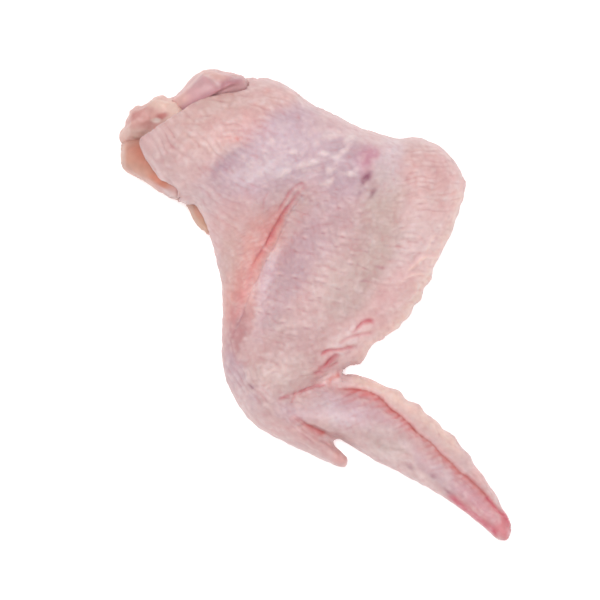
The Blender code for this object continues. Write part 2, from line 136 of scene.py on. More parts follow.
# Skin colours: tint, place x, y, half length, half width, turn in degrees, strength.
SKIN_PATCHES = (
    ("peach", -23.1, 57.7, 22.0, 11.0, 15, 0.8),
    ("warm_pink", -23.1, 54.0, 14.0, 6.0, 5, 0.7),
    ("warm_pink", -40.2, 47.8, 20.0, 11.0, -45, 0.15),
    ("warm_pink", -15.4, 63.3, 13.0, 6.0, -25, 0.5),
    ("lavender", -16.3, 42.8, 20.0, 10.0, 35, 0.85),
    # The two blue-mauve ovals are painted shadow.
    ("blue_mauve", -28.7, 42.2, 5.0, 2.6, 62, 0.35),
    ("blue_mauve", -23.1, 46.2, 7.0, 2.0, 30, 0.25),
    # These two pale lavender ovals are painted highlight streaks in the valley by the drumette.
    ("pale_lavender", -18.1, 39.1, 8.0, 3.0, 32, 0.35),
    ("pale_lavender", -8.8, 43.4, 7.0, 3.5, 20, 0.3),
    ("lavender", -7.0, 55.5, 8.0, 6.0, 40, 0.9),
    ("lavender", 4.2, 44.7, 17.0, 12.0, -20, 0.7),
    ("pale_lavender", -4.5, 50.9, 10.0, 4.0, -20, 0.35),
    ("pale", 11.0, 52.1, 13.0, 1.8, -10, 0.4),
    ("pale_lavender", 22.8, 43.1, 4.6, 10.0, -5, 0.6),
    ("blush", 15.6, 45.9, 3.6, 3.0, 0, 0.85),
    ("blush", 16.0, 41.6, 2.0, 3.0, 0, 0.5),
    ("back_pink", 37.7, 37.2, 11.0, 15.0, 0, 0.9),
    ("warm_pink", 35.2, 40.9, 8.0, 8.0, 0, 0.5),
    ("beige", 19.1, 23.0, 8.0, 17.0, -8, 0.75),
    ("beige", 9.4, 3.7, 9.0, 12.0, -30, 0.4),
    ("lavender", 1.1, 21.4, 7.0, 17.0, -38, 0.6),
    ("lavender", -10.7, 4.4, 6.0, 16.0, -25, 0.5),
    ("pale", 32.7, 18.3, 7.0, 8.0, -25, 0.35),
    ("pale", 34.2, 27.0, 6.0, 7.0, 0, 0.35),
    ("lavender", -14.4, 8.4, 2.6, 8.0, -25, 0.6),
    ("warm_pink", 24.0, -0.3, 16.0, 7.0, 45, 0.55),
    ("warm_pink", -25.6, 25.4, 9.0, 9.0, 0, 0.5),
    ("web_orange", -16.3, 20.5, 5.0, 11.0, -30, 0.6),
    ("web_orange", -21.2, 9.0, 5.0, 17.0, -10, 0.75),
    ("peach", -26.8, 11.2, 3.0, 14.0, -4, 0.6),
    ("web_orange", -24.3, -0.6, 4.5, 13.0, -6, 0.7),
    ("deep_web", -24.3, -9.6, 3.8, 10.0, -10, 0.9),
    ("wrist_mauve", -25.3, -21.1, 3.0, 8.0, 10, 0.7),
    ("warm_pink", -8.2, -11.8, 13.0, 5.0, 20, 0.4),
    ("beige", -9.2, -21.1, 12.0, 7.0, 15, 0.4),
    ("warm_pink", 9.4, -11.8, 13.0, 5.5, 38, 0.5),
    ("pale", 9.8, -13.0, 10.0, 5.0, 38, 0.75),
    ("fold_pink", 4.5, -16.7, 2.4, 1.6, 40, 0.35),
    ("deep_web", -8.2, -11.8, 9.0, 5.0, 20, 0.25),
    ("wrist_mauve", -7.0, -33.5, 5.0, 3.0, -30, 0.6),
    ("pale_lavender", 2.3, -30.7, 7.0, 4.0, 20, 0.5),
    ("pale_lavender", 9.4, -32.2, 7.0, 5.0, -35, 0.6),
    ("lavender", 18.7, -35.9, 13.0, 5.0, -38, 0.6),
    ("beige", 22.8, -42.1, 9.0, 5.0, -35, 0.5),
    ("lavender", 40.4, -52.7, 14.0, 4.0, -38, 0.5),
    ("pale", 27.1, -48.7, 12.0, 1.6, -31, 0.5),
    ("warm_pink", -0.8, -41.5, 13.0, 4.0, -30, 0.4),
    ("web_orange", 8.2, -47.7, 3.6, 3.0, -35, 0.5),
    ("tip_red", 60.3, -70.4, 4.5, 3.4, -50, 0.8),
    ("tip_red", 51.9, -64.8, 7.0, 2.0, -40, 0.2),
    ("tip_magenta", 60.0, -66.6, 4.0, 1.7, -60, 1.0),
    ("warm_pink", 51.9, -53.9, 5.0, 2.2, -48, 1.0),
    ("blush", 51.3, -62.0, 8.0, 2.6, -40, 0.45),
    ("mauve_grey", 9.4, 43.1, 7.0, 8.0, 0, 0.6),
    ("mauve_grey", -3.6, 44.0, 8.0, 6.0, 10, 0.35),
    ("skin_shade", 11.0, 23.6, 8.0, 8.0, -10, 0.6),
    ("skin_shade", -7.6, -11.1, 10.0, 8.0, 10, 0.5),
    ("skin_shade", -16.3, -28.2, 9.0, 6.0, -30, 0.4),
)
# The skin's edges, and the folds of the loose skin behind the forearm.
BACK_RIM = (
    (43.5, 39.1), (46.0, 30.7), (42.0, 20.5), (38.9, 14.3), (33.6, 5.0), (26.5, -6.2), (16.6, -14.9),
    (9.8, -19.2),
)
BAND_LINE = ((9.4, -23.5), (17.5, -24.8), (27.1, -30.1), (39.2, -39.0), (48.2, -49.0))
SKIN_EDGE = (
    (-18.5, 70.4), (-26.2, 68.2), (-38.6, 60.8), (-46.7, 55.8), (-52.9, 50.2), (-53.8, 47.4),
    (-51.0, 44.7), (-48.5, 42.2), (-46.7, 38.5), (-46.0, 34.7), (-40.5, 32.3), (-34.3, 27.9),
    (-32.4, 22.3),
)
RIM_FOLD_A = ((41.4, 18.6), (38.0, 14.9), (33.9, 14.6), (31.1, 12.4), (27.7, 8.7))
RIM_FOLD_B = ((39.8, 20.2), (37.0, 21.1), (35.8, 19.2), (34.2, 15.5))
RIM_FOLD_C = ((37.0, 13.0), (34.9, 9.9), (30.8, 9.0), (25.3, 6.2))
RIM_FOLD_D = ((32.7, 6.2), (29.0, 1.3), (24.0, -1.8), (18.4, -3.7))
TIP_EDGE = ((39.8, -58.3), (45.7, -62.9), (50.1, -66.3), (54.1, -69.7), (58.1, -72.8))
# Bands of colour along a path: tint, path, half width, strength.
SKIN_BANDS = (
    ("cream", BACK_RIM, 2.8, 0.85),
    ("cream", BAND_LINE, 2.6, 0.8),
    # The pale band along the skin's cut edge is its pale lip with a painted highlight on it.
    ("pale", SKIN_EDGE, 0.7, 0.55),
    ("tip_red", TIP_EDGE, 2.0, 0.5),
    ("tip_magenta", TIP_EDGE, 1.2, 1.0),
    ("pale", RIM_FOLD_A, 0.6, 0.5),
    ("pale", RIM_FOLD_B, 0.6, 0.5),
    ("pale", RIM_FOLD_C, 0.6, 0.4),
    ("pale", RIM_FOLD_D, 0.6, 0.35),
)

# The crease between the forearm and its web, and the folds of the wrist, the thumb and the hand.
CREASE = (
    (1.1, 37.5), (-2.6, 35.0), (-5.4, 31.9), (-7.9, 27.3), (-11.6, 20.5), (-15.0, 14.3), (-18.1, 7.5),
    (-20.6, 1.3), (-22.8, -5.6), (-25.0, -11.1), (-26.8, -18.0),
)
CREASE_INNER = (
    (-0.8, 36.6), (-4.5, 35.0), (-7.0, 32.3), (-9.2, 28.8), (-11.3, 25.1), (-13.8, 21.1), (-16.3, 17.1),
    (-18.8, 12.7),
)
CREASE_UPPER = ((-2.0, 37.5), (-5.4, 36.3), (-7.9, 33.8), (-10.1, 30.7), (-11.9, 27.3))
CREASE_GLOW = (
    (-7.6, 31.0), (-10.4, 26.7), (-13.2, 22.3), (-16.3, 17.1), (-18.8, 11.2), (-21.2, 4.4),
    (-23.4, -2.5), (-25.6, -10.5),
)
CREASE_BRIGHT = ((-8.2, 29.8), (-10.4, 26.4), (-12.9, 22.6), (-15.7, 18.0), (-17.8, 14.0), (-20.0, 9.0))
CREASE_SHORT = ((-14.4, 34.7), (-15.7, 32.3), (-16.3, 28.5))
BAND_FOLD = (
    (5.7, -26.0), (9.4, -26.0), (15.6, -26.6), (19.4, -28.5), (23.1, -31.3), (28.0, -35.6),
    (32.4, -39.4), (36.7, -43.7), (41.7, -48.0), (47.9, -54.2), (52.8, -58.6), (55.9, -62.3),
    (59.0, -66.0), (60.9, -70.4),
)
TIP_FOLD = ((52.5, -59.5), (54.7, -61.4), (56.6, -63.8), (59.4, -66.3))
THUMB_LINE_A = ((-5.7, -39.7), (-1.4, -42.1), (2.9, -45.2))
THUMB_LINE_B = ((-0.8, -40.3), (2.9, -42.8), (6.0, -45.9))
THUMB_GAP = ((-7.6, -34.4), (-5.1, -35.9), (-2.3, -37.5), (1.1, -39.0), (4.8, -41.2))
WRIST_FOLD_A = ((11.0, -9.3), (13.5, -6.8), (16.3, -5.3), (19.4, -5.6))
WRIST_FOLD_B = ((7.3, -12.1), (11.6, -9.9), (15.3, -9.0), (19.4, -8.4))
WRIST_FOLD_C = ((1.1, -16.1), (4.2, -14.6), (8.8, -13.9), (13.5, -12.7))
WRIST_FOLD_D = ((-0.8, -22.9), (2.3, -19.8), (4.8, -17.3), (8.2, -15.2))
WRIST_FOLD_E = ((-0.2, -22.3), (3.6, -20.1), (7.9, -17.3))
WRIST_FOLD_F = ((-11.9, -29.4), (-9.5, -28.8), (-6.7, -27.9), (-2.6, -26.3), (1.1, -25.4), (4.2, -25.7))
WRIST_FOLD_G = ((-7.6, -31.0), (-6.7, -29.1), (-5.7, -27.3))
NOTCH_FOLD = ((3.9, -25.1), (5.7, -23.2), (8.5, -21.7))
DRUM_MARK_A = ((-28.1, 51.2), (-25.6, 50.9), (-22.8, 49.9))
DRUM_MARK_B = ((-26.8, 49.6), (-24.3, 49.9), (-21.9, 50.9))
COLOUR_BORDER = (
    (-2.3, 62.9), (-5.7, 59.5), (-11.9, 54.0), (-18.1, 49.0), (-24.3, 45.9), (-28.7, 42.8),
    (-31.8, 38.5),
)

# Folds: path, depth (below 0 for a ridge), half width, tint, strength, the tint's half width, and the
# side it is on: 1 left of the path, -1 right of it, 0 both.
FOLDS = (
    (CREASE, -1.2, 1.8, "skin", 0.0, 0.5, 0),
    (CREASE_GLOW, 0.0, 0.5, "web_glow", 0.55, 3.4, -1),
    (CREASE_GLOW, 0.0, 0.5, "web_glow", 0.5, 1.0, 0),
    (CREASE_BRIGHT, 0.15, 0.6, "crease_red", 0.4, 1.3, 0),
    (CREASE_BRIGHT, 0.25, 0.45, "crease_red", 0.85, 0.6, 0),
    (CREASE, 0.2, 0.45, "fold_purple", 0.3, 0.5, 0),
    (CREASE_INNER, 0.35, 0.4, "fold_pink", 0.85, 0.45, 0),
    (CREASE_UPPER, 0.3, 0.4, "fold_pink", 0.7, 0.45, 0),
    (CREASE_SHORT, 0.15, 0.4, "fold_pink", 0.35, 0.45, 0),
    (BAND_FOLD, 0.5, 0.5, "fold_deep", 0.95, 0.55, 0),
    (TIP_FOLD, 0.3, 0.4, "tip_magenta", 0.9, 0.6, 0),
    (THUMB_GAP, 0.3, 0.6, "gap_red", 0.95, 1.0, 0),
    (THUMB_LINE_A, 0.2, 0.4, "crease_pink", 0.5, 0.5, 0),
    (THUMB_LINE_B, 0.2, 0.4, "crease_pink", 0.5, 0.5, 0),
    (WRIST_FOLD_A, 0.35, 0.5, "fold_pink", 1.0, 0.65, 0),
    (WRIST_FOLD_B, 0.35, 0.5, "fold_pink", 0.9, 0.65, 0),
    (WRIST_FOLD_C, 0.4, 0.5, "fold_pink", 1.0, 0.65, 0),
    (WRIST_FOLD_D, 0.35, 0.5, "fold_pink", 1.0, 0.85, 0),
    (WRIST_FOLD_E, 0.3, 0.4, "fold_pink", 0.7, 0.5, 0),
    (WRIST_FOLD_F, 0.5, 0.45, "fold_pink", 0.85, 0.5, 0),
    (WRIST_FOLD_G, 0.3, 0.4, "fold_pink", 0.7, 0.45, 0),
    (NOTCH_FOLD, 0.3, 0.5, "fold_red", 0.85, 0.8, 0),
    (DRUM_MARK_A, 0.12, 0.4, "fold_red", 0.45, 0.5, 0),
    (DRUM_MARK_B, 0.12, 0.4, "fold_red", 0.35, 0.45, 0),
    (COLOUR_BORDER, 0.15, 0.9, "blue_mauve", 0.12, 1.2, 0),
    # On one side of each rim fold, crease pink is painted as a shadow line beside its ridge.
    (RIM_FOLD_A, -0.5, 0.6, "crease_pink", 0.3, 1.5, -1),
    (RIM_FOLD_A, 0.0, 0.6, "cream", 0.8, 0.5, 0),
    (RIM_FOLD_B, -0.4, 0.6, "crease_pink", 0.3, 1.2, 1),
    (RIM_FOLD_B, 0.0, 0.6, "cream", 0.7, 0.45, 0),
    (RIM_FOLD_C, -0.4, 0.6, "crease_pink", 0.25, 1.2, -1),
    (RIM_FOLD_C, 0.0, 0.6, "cream", 0.6, 0.45, 0),
    (RIM_FOLD_D, -0.35, 0.6, "crease_pink", 0.2, 1.2, -1),
)
# How far a fold reaches and how far out its lips lie, in half widths, the lips' height as a share of
# the depth, and how uneven the fold is: middle, spread, size and seed.
FOLD_REACH, LIP_PLACE, LIP_HEIGHT = 4, 2, 0.22
FOLD_UNEVENNESS = (0.75, 0.35, 3.0, 55)

# Fine wrinkles: place x, y, half length, half width, turn, then the lines' own angle, spacing,
# depth, bend and raggedness.
WRINKLES = (
    (-23.1, 57.1, 19.0, 10.0, 15, -7, 2.1, 0.34, 0.012, 0.6),
    (-39.2, 45.3, 18.0, 14.0, -45, -44, 2.3, 0.30, 0.0, 1.2),
    (-20.0, 43.1, 17.0, 10.0, 30, -26, 2.4, 0.20, 0.0, 1.2),
    (-30.9, 27.6, 12.0, 12.0, 0, -30, 2.2, 0.24, 0.0, 1.2),
    (36.4, 36.0, 15.0, 18.0, 0, 4, 1.7, 0.34, 0.0, 0.8),
    (26.5, 12.1, 16.0, 16.0, -30, -6, 2.0, 0.28, 0.0, 0.9),
    (1.7, 16.8, 18.0, 22.0, -20, -14, 2.7, 0.22, 0.0, 1.2),
    (-9.2, -8.0, 18.0, 16.0, -20, -20, 2.3, 0.24, 0.0, 1.2),
    (-20.0, 13.0, 7.0, 20.0, -8, 32, 1.25, 0.22, 0.0, 0.8),
    (-23.7, -25.1, 9.0, 16.0, 25, -58, 1.8, 0.30, -0.01, 0.9),
    (-4.5, -22.9, 14.0, 10.0, 30, 22, 2.0, 0.28, 0.0, 1.0),
    (-12.3, -34.4, 12.0, 6.0, -35, -38, 1.9, 0.26, 0.0, 1.0),
    (-0.8, -42.1, 13.0, 5.0, -30, -34, 1.3, 0.26, 0.0, 0.8),
    (15.6, -33.5, 15.0, 7.0, -25, 20, 2.0, 0.28, 0.0, 0.7),
    (31.1, -45.2, 14.0, 6.0, -38, 14, 2.0, 0.24, 0.0, 0.8),
    (49.7, -59.2, 14.0, 5.0, -42, -36, 1.5, 0.30, 0.0, 0.7),
    (35.8, -37.5, 22.0, 3.0, -42, -20, 1.6, 0.10, 0.0, 0.8),
    (4.8, 43.1, 17.0, 12.0, -10, 18, 2.2, 0.22, 0.0, 1.2),
    (9.4, 30.7, 12.0, 9.0, 0, 12, 2.2, 0.2, 0.0, 1.2),
)
# How their lines wander: size and amount in spacings, and what is added to the seed.
WRINKLE_DRIFTS = ((3.2, 0.55, 0), (1.3, 0.2, 40))
# How wide the creases are, how far along them they break, the share of the depth that is used, and
# the height of the ridges as a share of it.
CREASE_WIDTH, WRINKLE_STRETCH, WRINKLE_SCALE, RIDGE_SHARE = 0.5, 3.5, 0.55, 0.35

# Feather follicles: place x, y, half length, half width, turn, then the rows' angle, the spacing
# along and across them, the bump's height and radius, the pit's depth and half length, and how
# strongly the bump is pale and the pit is dark.
FOLLICLES = (
    (1.1, 44.0, 14.0, 13.0, -15, 20, 4.6, 4.0, 0.16, 1.0, 0.06, 0.6, 0.12, 0.2),
    (-2.0, 10.6, 20.0, 31.0, -25, -12, 5.0, 4.2, 0.20, 1.0, 0.18, 1.0, 0.22, 0.75),
    (-27.8, 49.3, 26.0, 17.0, 10, -35, 4.2, 3.6, 0.18, 1.0, 0.10, 0.6, 0.15, 0.2),
    (34.2, 32.3, 16.0, 26.0, 0, 2, 4.4, 3.4, 0.20, 0.9, 0.12, 0.8, 0.2, 0.4),
    (17.2, -37.5, 24.0, 12.0, -35, -30, 4.6, 4.0, 0.14, 1.0, 0.08, 0.6, 0.2, 0.15),
    (-15.4, -25.1, 14.0, 14.0, 0, 25, 4.4, 3.8, 0.16, 1.0, 0.10, 0.7, 0.2, 0.25),
)
# Where in its cell a dot can lie, and the smallest bump as a share of the largest. Then how much longer
# than wide a bump is, how far off its pit lies, in radii, and how wide, and how closely the pale keeps to
# the bump's top.
DOT_MARGIN, DOT_SPREAD, SMALLEST_BUMP = 0.15, 0.7, 0.35
BUMP_STRETCH, PIT_PLACE, PIT_WIDTH, PALE_POWER = 1.25, 0.35, 0.42, 1.5
# The finest cushions between the creases.
PEBBLE_TURN, PEBBLE_LENGTH, PEBBLE_WIDTH = 20, 1.9, 1.6
PEBBLE_ROUNDNESS, PEBBLE_HEIGHT = 0.6, 0.06

# The skin's outer edge from the top of the cut round to the tip, clockwise: a notch above the elbow,
# then steps behind the forearm and teeth along the hand's band, where the long feathers stood.
SKIN_OUTLINE = (
    (-19.1, 69.9), (-15.4, 70.4), (-11.3, 69.1), (-8.8, 67.9), (-6.7, 66.4), (-4.8, 65.4), (-3.3, 63.3),
    (-2.3, 61.7), (0.1, 61.4), (1.1, 60.5), (3.2, 60.8), (4.2, 59.2), (6.0, 59.1), (8.8, 57.4),
    (11.6, 55.8), (13.5, 55.2), (14.7, 54.3), (17.8, 53.6), (20.3, 52.7), (22.8, 52.1), (25.3, 51.3),
    (28.0, 51.2), (29.3, 51.9), (33.3, 51.6), (35.8, 50.4), (38.9, 49.3), (42.0, 46.2), (44.2, 43.7),
    (45.7, 40.9), (46.0, 39.4), (47.0, 38.8), (47.3, 36.6), (46.3, 34.7), (46.6, 33.5), (45.1, 30.1),
    (45.1, 28.5), (43.9, 26.7), (43.2, 23.6), (42.0, 20.5), (41.1, 19.5), (39.8, 16.8), (38.9, 14.6),
    (37.2, 12.1), (36.6, 9.6), (36.7, 7.5), (35.5, 6.7), (34.1, 5.3), (33.6, 3.1), (33.3, 1.3),
    (32.1, 0.5), (30.7, -0.6), (30.2, -2.5), (29.0, -4.5), (27.1, -5.7), (26.5, -7.3), (24.3, -8.4),
    (22.2, -9.9), (21.5, -11.1), (19.7, -11.5), (18.1, -12.4), (16.9, -14.2), (15.3, -17.3),
    (14.4, -18.7), (10.4, -19.2), (9.3, -20.3), (9.1, -21.7), (13.5, -22.1), (17.2, -23.4),
    (20.3, -24.8), (22.6, -26.0), (26.8, -27.1), (28.4, -30.1), (33.0, -31.4), (34.2, -33.9),
    (38.6, -36.9), (40.0, -39.2), (43.9, -41.1), (44.6, -42.5), (45.1, -44.2), (48.5, -47.1),
    (49.7, -50.2), (52.8, -53.8), (54.1, -56.1), (56.6, -59.5), (58.7, -64.2), (60.1, -65.9),
    (61.5, -69.0), (60.9, -71.6), (59.7, -73.9),
)
# The skin's edge between the fillet and the flap.
SKIN_CORNER = ((-38.6, 29.5), (-40.2, 31.3), (-42.6, 32.4), (-45.4, 33.3), (-47.3, 35.0))
# The skin's cut edge over the bone and the upper muscle, drawn on past both its ends.
SKIN_LIP = (
    (-56.6, 49.3), (-51.6, 52.4), (-46.7, 55.8), (-38.6, 61.1), (-26.2, 68.5), (-20.0, 70.2),
    (-16.3, 70.4),
)
# The outer edges of the flap and the fillet, of the upper muscle and of the bone's end, clockwise.
FILLET_OUTLINE = (
    (-32.4, 21.7), (-34.6, 23.0), (-36.6, 24.8), (-38.1, 27.1), (-38.9, 29.8), (-40.8, 31.8),
    (-42.6, 32.3), (-45.4, 33.2), (-46.7, 34.4), (-51.6, 37.5), (-59.1, 41.6), (-60.0, 42.8),
    (-60.0, 50.9), (-58.8, 53.3),
)
MUSCLE_OUTLINE = (
    (-43.9, 62.9), (-42.8, 65.1), (-38.6, 68.2), (-36.6, 70.2), (-35.5, 71.8), (-34.0, 72.7),
    (-29.9, 72.7), (-28.4, 71.9), (-25.3, 71.6), (-20.6, 70.2),
)
MEAT_OUTLINES = (FILLET_OUTLINE, MUSCLE_OUTLINE)
BONE_OUTLINE = (
    (-59.7, 53.3), (-58.0, 56.4), (-57.5, 58.6), (-56.3, 60.5), (-53.8, 61.7), (-51.9, 61.7),
    (-51.0, 62.9), (-48.5, 64.0), (-46.4, 63.6), (-43.6, 62.8),
)

# Red streaks from the band's fold into the hand: their direction, spacing, reach and depth, width and
# stretch, how far they wander, and how much fainter and shorter they are at the tip.
STREAK_TURN, STREAK_SPACING, STREAK_REACH, STREAK_DEPTH = 17, 2.1, 8.0, 0.18
STREAK_WIDTH, STREAK_STRETCH, STREAK_DRIFT = 0.9, 6, 0.3
STREAK_FAINTER, STREAK_SHORTER = 0.75, 0.55
# Their strengths: the wash between them, themselves, a glow along the fold and its red edge.
WASH_PINK, STREAK_PINK = 0.05, 0.75
GLOW_PINK, GLOW_WIDTH, GLOW_FAINTER = 0.4, 3.0, 0.6
EDGE_RED, EDGE_STREAK_RED, EDGE_WIDTH = 0.4, 0.15, 1.2

# Sharper bumps by the elbow: places, height and radius, then direction, stretch and how strong the white
# highlight painted on them is.
SHARP_BUMPS = (
    (-6.4, 46.8), (2.9, 46.5), (5.1, 51.2), (10.7, 50.5), (6.7, 45.3), (9.1, 47.1), (4.5, 41.2),
    (11.0, 40.0), (-0.5, 43.4), (-3.9, 42.5), (4.2, 37.5), (-8.8, 40.6),
)
SHARP_BUMP_HEIGHT, SHARP_BUMP_RADIUS = 0.42, 0.85
SHARP_BUMP_TURN, SHARP_BUMP_STRETCH, SHARP_BUMP_PALE = 12, 1.8, 0.35

# Marks in the skin: tint, place x, y, half length, half width, turn, strength.
SKIN_MARKS = (
    ("bruise", 15.8, 38.5, 2.4, 1.1, 55, 1.0),
    ("bruise", 17.7, 34.1, 1.8, 0.8, 62, 0.65),
    ("blush", 16.0, 44.7, 2.6, 3.6, -10, 0.5),
    ("bruise", 13.8, 34.1, 1.4, 0.7, 62, 0.25),
    ("bruise", -19.4, -25.4, 1.2, 0.9, -20, 0.7),
    ("lavender", -19.4, -29.1, 2.5, 3.5, 0, 0.5),
    ("dash", 20.3, 11.5, 1.9, 0.5, -15, 0.8),
    ("dash", 15.3, 7.1, 1.5, 0.5, -4, 0.6),
    ("bruise", 29.9, -50.8, 1.5, 0.9, -30, 0.4),
    ("bruise", 36.7, -53.3, 1.3, 0.7, -30, 0.4),
    ("bruise", 41.7, -58.3, 1.5, 0.6, -35, 0.5),
    ("pale", -2.6, -28.8, 4.0, 2.0, 25, 0.5),
    ("pale", -9.8, -6.8, 5.0, 1.0, 24, 0.5),
    # Painted highlight streaks in the skin's valley between the drumette and the elbow.
    ("white_highlight", -14.4, 42.2, 4.5, 1.3, 35, 0.45),
    ("white_highlight", -9.5, 40.9, 3.5, 1.2, 20, 0.45),
    ("white_highlight", -20.0, 38.5, 4.5, 1.1, 32, 0.4),
    ("white_highlight", -23.7, 39.7, 3.0, 1.2, 40, 0.3),
    ("white_highlight", -1.4, 39.4, 2.8, 0.9, 15, 0.4),
    ("fold_red", -14.7, 65.7, 1.2, 0.9, 0, 0.3),
    ("fold_red", -19.4, 67.6, 1.6, 0.7, 10, 0.25),
    ("fold_red", -25.6, 50.2, 3.4, 1.0, -5, 0.35),
)

# The bared meat's and the bone end's colours, as for the skin.
MEAT_PATCHES = (
    ("muscle_lilac", -36.4, 65.7, 6.0, 3.4, 40, 0.4),
    ("muscle_light", -32.1, 71.3, 4.0, 1.8, 5, 0.9),
    ("muscle_light", -41.7, 63.9, 2.6, 2.2, 40, 0.8),
    ("muscle_light", -38.6, 67.6, 5.0, 1.0, 42, 0.5),
    ("muscle_dark", -24.3, 69.5, 4.0, 1.6, 15, 0.2),
    ("fillet", -54.1, 43.1, 14.0, 16.0, -20, 1.0),
    ("fillet_grey", -56.3, 51.5, 4.0, 2.6, 0, 0.9),
    ("fillet_edge", -53.8, 53.6, 6.0, 0.9, 0, 0.8),
    ("fillet_edge", -59.7, 47.8, 1.2, 6.0, 0, 0.4),
    ("muscle_dark", -47.0, 35.4, 2.2, 1.6, -40, 0.45),
    ("fillet_deep", -48.2, 37.8, 4.0, 2.2, -40, 0.6),
    ("skin", -42.9, 32.9, 3.6, 1.6, -25, 1.0),
    ("skin", -20.6, 69.5, 1.4, 2.4, 0, 0.9),
    ("flap", -36.7, 26.1, 8.0, 8.0, 0, 1.0),
    ("flap_deep", -38.0, 30.4, 4.0, 2.0, -40, 0.7),
)
MUSCLE_SPLIT = ((-34.3, 71.9), (-31.5, 69.5), (-28.7, 66.4))
MUSCLE_STRIP = ((-28.7, 66.4), (-26.2, 69.5), (-23.1, 71.0))
# The first three bands are painted shadow on the meat below the skin's cut edge; the last is a pale line
# along the muscle's split.
MEAT_BANDS = (
    ("muscle_dark", SKIN_EDGE[:4], 1.2, 0.6),
    ("fillet_deep", SKIN_EDGE[4:10], 2.8, 0.85),
    ("flap_deep", SKIN_EDGE[10:], 1.0, 0.6),
    ("pale", MUSCLE_SPLIT, 0.7, 0.4),
)
# Grooves in the upper muscle: path, depth, half width.
MUSCLE_GROOVES = (
    (MUSCLE_SPLIT, 0.7, 0.9),
    (MUSCLE_STRIP, 0.8, 1.1),
)
BONE_PATCHES = (
    ("knob_pink", -53.5, 59.5, 6.0, 3.6, 0, 0.8),
    ("knob_deep", -56.0, 56.7, 3.6, 1.6, 30, 0.7),
    ("knob_deep", -52.2, 56.4, 3.0, 1.2, 0, 0.5),
    ("knob_cream", -47.9, 62.3, 4.0, 2.2, 0, 0.9),
    ("knob_cream", -42.3, 60.2, 5.0, 2.0, -35, 0.9),
    ("knob_red", -46.7, 57.7, 2.4, 1.2, 10, 0.8),
    ("knob_deep", -51.0, 54.6, 6.0, 1.2, 5, 0.6),
    ("white_gristle", -48.8, 56.4, 1.6, 0.8, 0, 0.9),
)


def eased(share):
    """A share from 0 to 1 with a soft start and a soft end."""
    share = np.clip(share, 0, 1)
    return share * share * (3 - 2 * share)


def bell(distance, width):
    """1 at no distance, about a third at the width and nearly 0 at twice the width."""
    return np.exp(-((distance / width) ** 2))


def linear(tint):
    """An sRGB colour as the linear colour that looks so in this scene's light."""
    share = np.array(tint) / 255
    value = np.where(share > 0.04045, ((share + 0.055) / 1.055) ** 2.4, share / 12.92)
    return value / LIGHT_GAIN


def chance(cells, seed):
    """An even random number from 0 to 1 for each whole-numbered cell, the same each run."""
    mixed = np.sin(cells @ np.array([127.1, 311.7, 74.7])[: cells.shape[1]] + seed * 53.3) * 43758.5453
    return mixed - np.floor(mixed)


def cloud(places, size, seed):
    """Smooth noise from -1 to 1 with lumps of about that size."""
    scaled = places / size
    low = np.floor(scaled)
    share = eased(scaled - low)
    total = np.zeros(len(places))
    dimensions = places.shape[1]
    for corner in range(2**dimensions):
        step = np.array([(corner >> k) & 1 for k in range(dimensions)])
        weight = np.prod(np.where(step == 1, share, 1 - share), axis=1)
        total += weight * chance(low + step, seed)
    return 2 * total - 1


def varied(places, middle, spread, size, seed):
    """Smooth noise around a middle value, up to a spread from it."""
    return middle + spread * cloud(places, size, seed)


def lumpy(places, rows):
    """The sum of smooth noises, given by their height, size and seed."""
    return sum(height * cloud(places, size, seed) for height, size, seed in rows)


def sideways(places, size, seed):
    """A smooth uneven step for each point, up to 1 in X and in Y."""
    return np.column_stack([cloud(places, size, seed), cloud(places, size, seed + 1)])


def turned(plan, x, y, degrees):
    """Each point's distance along and across a direction, from a place."""
    angle = math.radians(degrees)
    offset = plan - np.array([x, y])
    along = offset[:, 0] * math.cos(angle) + offset[:, 1] * math.sin(angle)
    across = offset[:, 1] * math.cos(angle) - offset[:, 0] * math.sin(angle)
    return along, across


def patch(plan, x, y, half_length, half_width, degrees):
    """How far each point lies within a soft oval: 1 at its middle and 0 well outside."""
    along, across = turned(plan, x, y, degrees)
    return 1 - eased((np.hypot(along / half_length, across / half_width) - PATCH_CORE) / PATCH_FADE)


def smooth_path(points, steps=5):
    """The points with a Catmull-Rom curve drawn through them."""
    rows = np.array(points, float)
    padded = np.vstack([2 * rows[0] - rows[1], rows, 2 * rows[-1] - rows[-2]])
    made = []
    for a, b, c, d in zip(padded, padded[1:], padded[2:], padded[3:]):
        for t in np.arange(steps) / steps:
            bend = (2 * a - 5 * b + 4 * c - d) * t**2 + (3 * b - a - 3 * c + d) * t**3
            made.append(0.5 * (2 * b + (c - a) * t + bend))
    return np.array([*made, rows[-1]])


def measured(path, plan, reach, steps=5):
    """The points in the box of a path and its reach, and their distance, side and share along it.

    The side is 1 left of the path and -1 right of it.
    """
    line = smooth_path(path, steps)
    low, high = line.min(axis=0) - reach, line.max(axis=0) + reach
    near = np.flatnonzero(np.all((plan > low) & (plan < high), axis=1))
    distance = np.full(len(near), np.inf)
    side = np.zeros(len(near))
    share = np.zeros(len(near))
    for index, (start, end) in enumerate(zip(line, line[1:])):
        step = end - start
        offset = plan[near] - start
        t = np.clip(offset @ step / (step @ step), 0, 1)
        rest = offset - t[:, None] * step
        away = np.hypot(rest[:, 0], rest[:, 1])
        closer = away < distance
        distance[closer] = away[closer]
        side[closer] = np.sign(step[0] * rest[:, 1] - step[1] * rest[:, 0])[closer]
        share[closer] = ((index + t) / (len(line) - 1))[closer]
    return near, distance, side, share


def tapered(share):
    """1 along a path, running out to 0 over a sixth of it at both ends."""
    return eased(6 * np.minimum(share, 1 - share))


